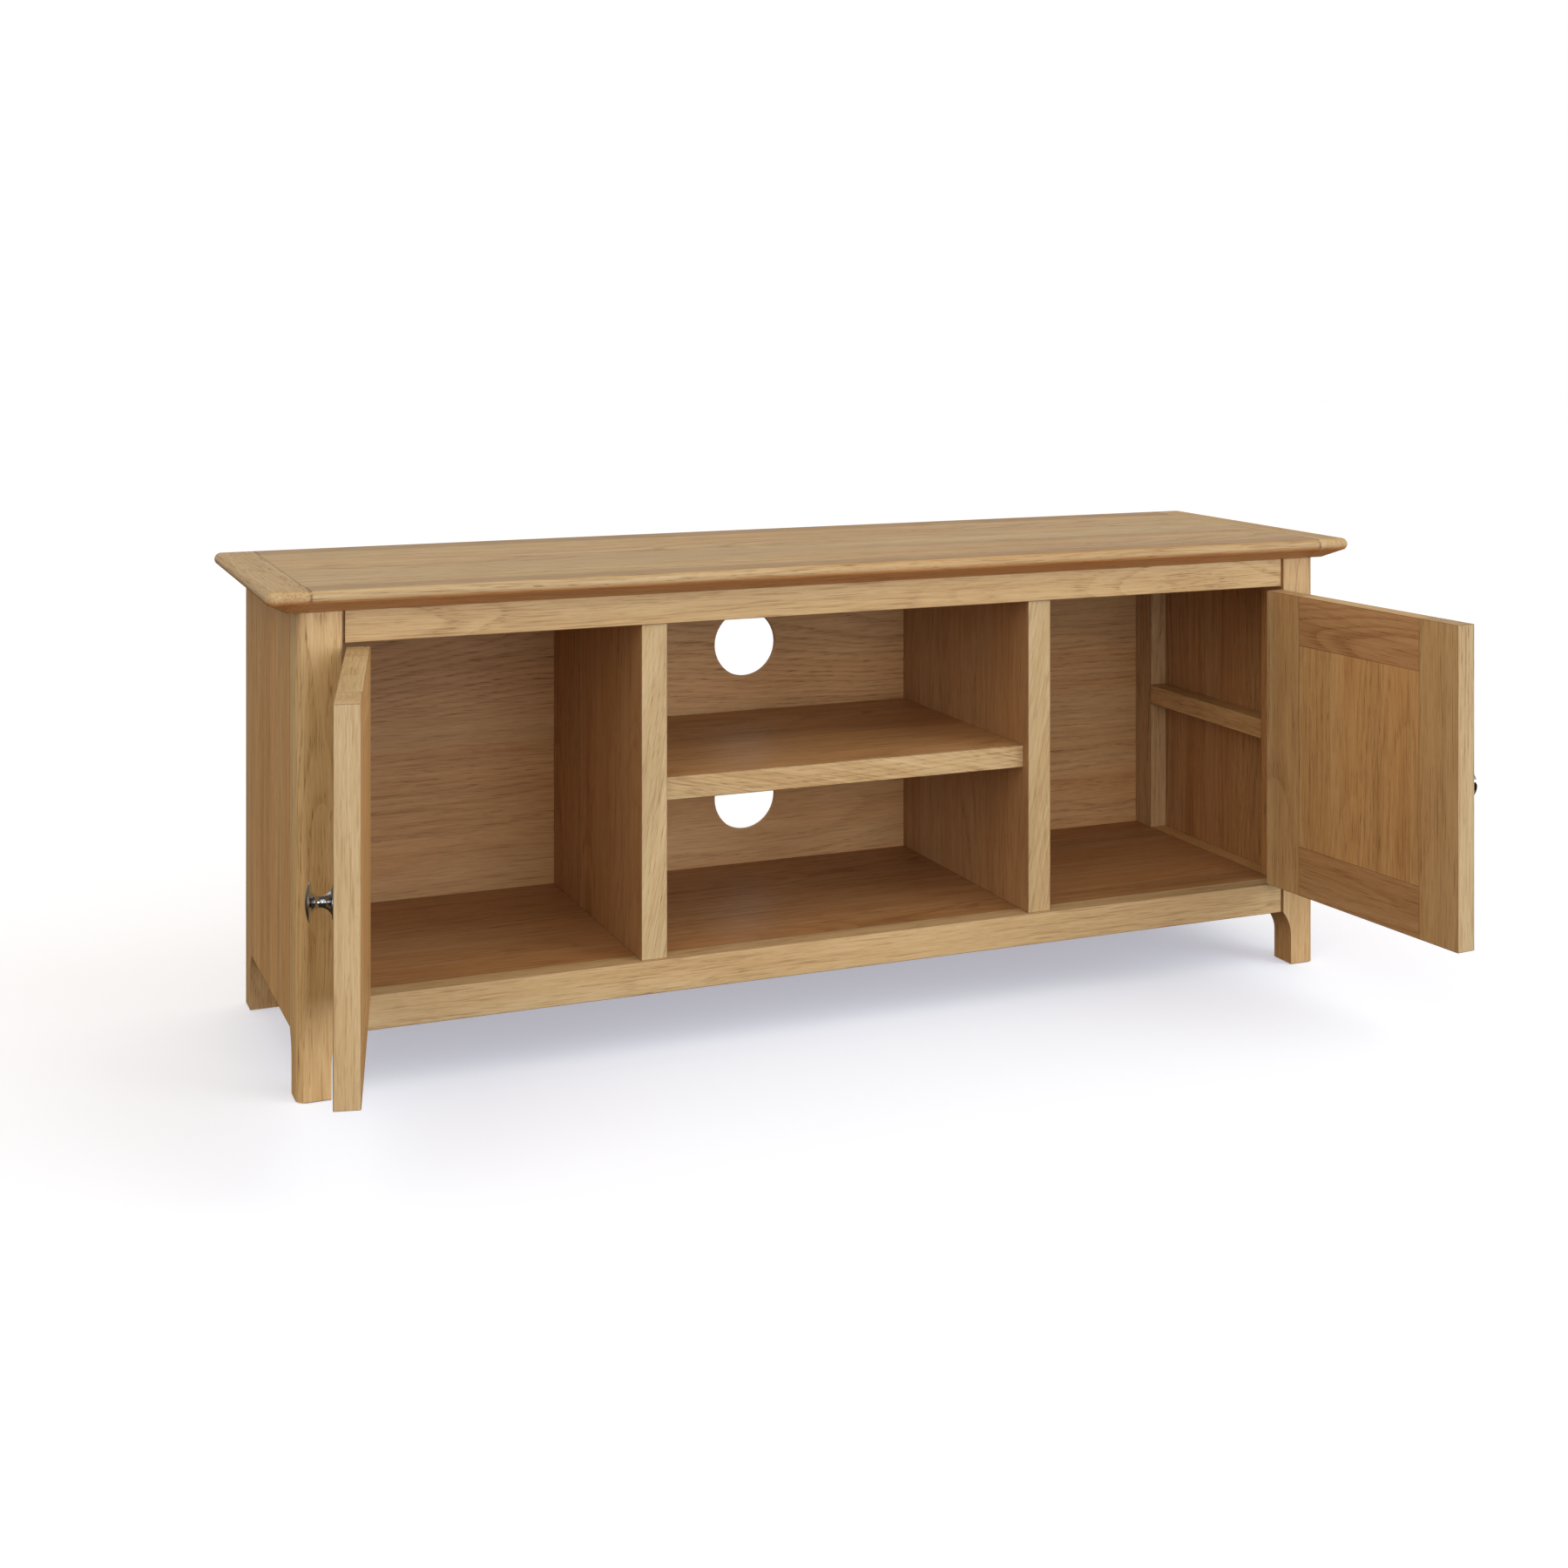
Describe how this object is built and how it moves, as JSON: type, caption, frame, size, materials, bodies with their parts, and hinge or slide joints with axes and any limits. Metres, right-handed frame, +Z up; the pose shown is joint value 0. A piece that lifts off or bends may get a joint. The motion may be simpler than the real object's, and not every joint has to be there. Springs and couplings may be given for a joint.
{
  "type": "media cabinet",
  "caption": "Low oak media cabinet with a framed bullnosed top, an open middle bay with a shelf and cable holes, and a hinged door at each end.",
  "frame": {"origin": "on the floor, under the middle of the body, halfway between its front and back faces", "axes": "+Z up, doors on the -Y side, -X is the left of someone who faces the doors"},
  "size_m": [1.2049, 0.6141, 0.478],
  "materials": {
    "oak": "light oak, satin lacquer, open grain",
    "oak_panel": "oak-veneered board, satin lacquer",
    "beech": "plain turned dowel",
    "chrome": "polished",
    "hinge_steel": "satin plated",
    "zinc_steel": "zinc plated",
    "catch_steel": "dull nickel"
  },
  "bodies": {
    "cabinet": {"back_bottom_rail": "oak", "back_left_post": "oak", "back_panel": "oak_panel", "back_panel_screws": "zinc_steel", "back_right_post": "oak", "back_top_rail": "oak", "catch_strike_pins": "catch_steel", "centre_shelf": "oak_panel", "cleat_screws": "zinc_steel", "divider_dowels": "beech", "floor_dowels": "beech", "floor_panel": "oak_panel", "front_bottom_rail": "oak", "front_left_post": "oak", "front_right_post": "oak", "front_top_rail": "oak", "hinge_pins": "hinge_steel", "hinge_post_screws": "zinc_steel", "left_divider": "oak_panel", "left_hinge_post_leaves": "hinge_steel", "left_lower_cleat": "oak", "left_middle_cleat": "oak", "left_side_panel": "oak_panel", "left_upper_cleat": "oak", "rail_dowels": "beech", "right_divider": "oak_panel", "right_hinge_post_leaves": "hinge_steel", "right_lower_cleat": "oak", "right_middle_cleat": "oak", "right_side_panel": "oak_panel", "right_upper_cleat": "oak", "top_back_rail": "oak", "top_dowels": "beech", "top_field_panel": "oak_panel", "top_front_rail": "oak", "top_left_end_board": "oak", "top_right_end_board": "oak"},
    "left_door": {"left_door_hinge_stile": "oak", "left_door_latch_stile": "oak", "left_door_top_rail": "oak", "left_door_bottom_rail": "oak", "left_door_panel": "oak_panel", "left_knob": "chrome", "left_knob_stud": "zinc_steel", "left_hinge_door_leaves": "hinge_steel", "left_hinge_door_screws": "zinc_steel", "left_catch_magnet": "catch_steel"},
    "right_door": {"right_door_hinge_stile": "oak", "right_door_latch_stile": "oak", "right_door_top_rail": "oak", "right_door_bottom_rail": "oak", "right_door_panel": "oak_panel", "right_knob": "chrome", "right_knob_stud": "zinc_steel", "right_hinge_door_leaves": "hinge_steel", "right_hinge_door_screws": "zinc_steel", "right_catch_magnet": "catch_steel"}
  },
  "joints": [
    {"name": "left_door_hinge", "type": "hinge", "parent": "cabinet", "child": "left_door", "pos_m": [-0.5247, -0.16, 0.2585], "axis": [0, 0, -1], "range_deg": [-103, 67]},
    {"name": "right_door_hinge", "type": "hinge", "parent": "cabinet", "child": "right_door", "pos_m": [0.5247, -0.16, 0.2585], "axis": [0, 0, 1], "range_deg": [-95, 75]}
  ]
}
